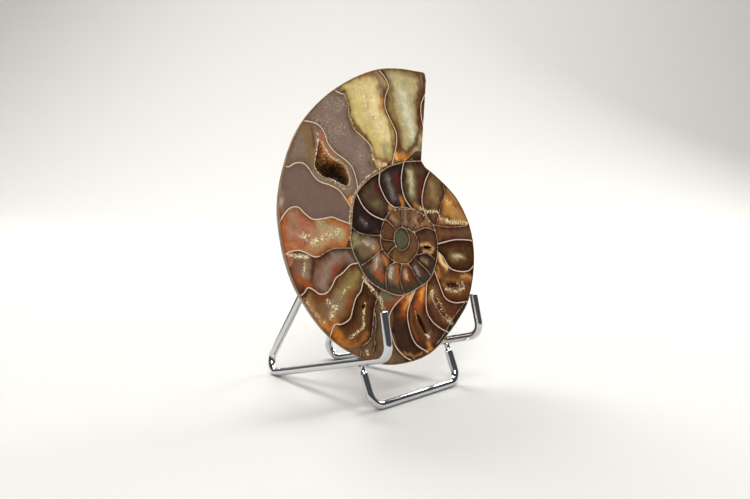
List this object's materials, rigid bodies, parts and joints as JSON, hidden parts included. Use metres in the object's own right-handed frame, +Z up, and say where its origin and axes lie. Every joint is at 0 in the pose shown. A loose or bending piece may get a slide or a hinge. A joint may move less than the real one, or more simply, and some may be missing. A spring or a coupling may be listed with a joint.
{
  "type": "ammonite fossil half on easel",
  "caption": "Sawn and polished ammonite half with crystal-lined hollows, standing upright in a bent chromed wire easel.",
  "frame": {"origin": "middle of the underside of the whole object's bounding box, on the floor", "axes": "+Z up, +Y towards the easel's back rest, so the polished face looks towards -Y, +X to the right seen from the face"},
  "size_m": [0.0958, 0.072, 0.1196],
  "materials": {
    "stone": "polished sawn face, ribbed shell behind",
    "druse": "small calcite crystals",
    "chrome": "mirror bright"
  },
  "bodies": {
    "root": {"ammonite_half": "stone", "main_hollow_crystals": "druse", "lower_hollow_crystals": "druse", "side_hollow_crystals": "druse", "easel_wire": "chrome", "front_foot": "chrome"}
  },
  "joints": []
}
